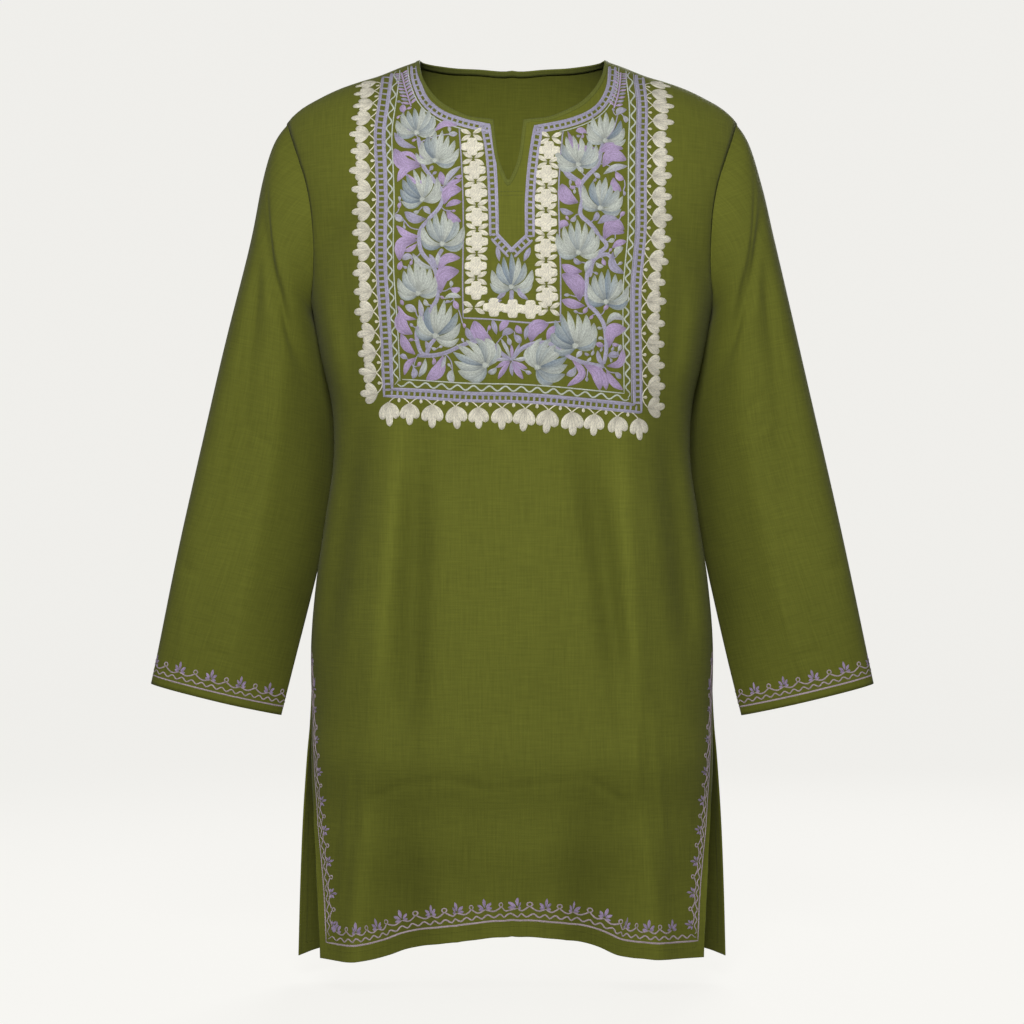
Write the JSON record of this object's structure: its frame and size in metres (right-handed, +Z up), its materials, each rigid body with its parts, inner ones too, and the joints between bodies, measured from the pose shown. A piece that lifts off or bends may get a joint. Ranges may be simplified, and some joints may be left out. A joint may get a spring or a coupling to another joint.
{
  "type": "kurta tunic",
  "caption": "Worn-shape kurta tunic with a round neck and front slit, long loose sleeves, side slits and an arched front hem, embroidered yoke and borders.",
  "frame": {"origin": "midway between the two neck points, the tops of the shoulder seams at the neck, level with them", "axes": "+Z up the body, -Y out of the front, +X to the viewer's right when the front is seen"},
  "size_m": [0.725, 0.2338, 0.902],
  "materials": {
    "front": "matt woven cotton",
    "back": "matt woven cotton",
    "sleeve_left": "matt woven cotton",
    "sleeve_right": "matt woven cotton",
    "neck_band_front": "matt woven cotton",
    "neck_facing_back": "matt woven cotton"
  },
  "bodies": {
    "root": {"front": "front", "back": "back", "sleeve_left": "sleeve_left", "sleeve_right": "sleeve_right", "neck_band_front": "neck_band_front", "neck_facing_back": "neck_facing_back"}
  },
  "joints": []
}
